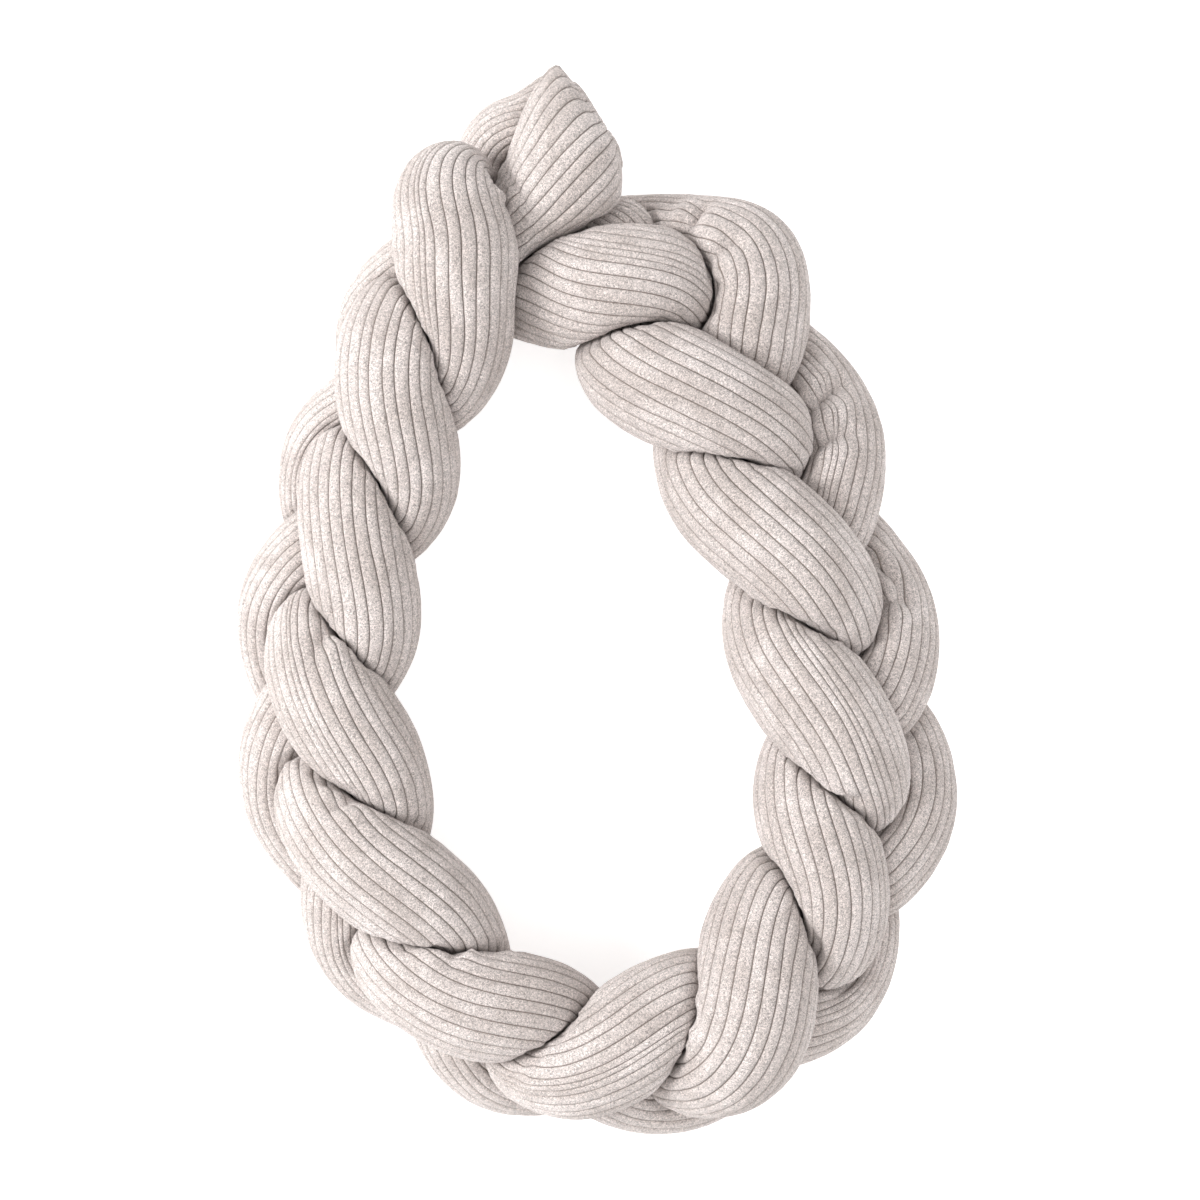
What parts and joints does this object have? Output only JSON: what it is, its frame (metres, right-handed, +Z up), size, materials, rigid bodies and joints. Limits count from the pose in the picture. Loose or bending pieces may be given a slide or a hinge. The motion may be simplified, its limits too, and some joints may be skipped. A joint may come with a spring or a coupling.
{
  "type": "braided crib bumper",
  "caption": "Thick braid of stuffed corduroy tubes that pads the inside of a crib, laid flat in a loop with its head resting on its tail.",
  "frame": {"origin": "on the floor under the middle of the loop's bounding box", "axes": "+Z up from the floor, +Y along the loop towards the end where the head crosses the tail, +X across the loop so that the head's side of the braid is on the -X side"},
  "size_m": [0.6567, 0.9601, 0.205],
  "materials": {
    "corduroy": "wide-wale cotton corduroy, matt pile, pale greige"
  },
  "bodies": {
    "root": {"tube_a": "corduroy", "tube_b": "corduroy", "tube_c": "corduroy"}
  },
  "joints": []
}
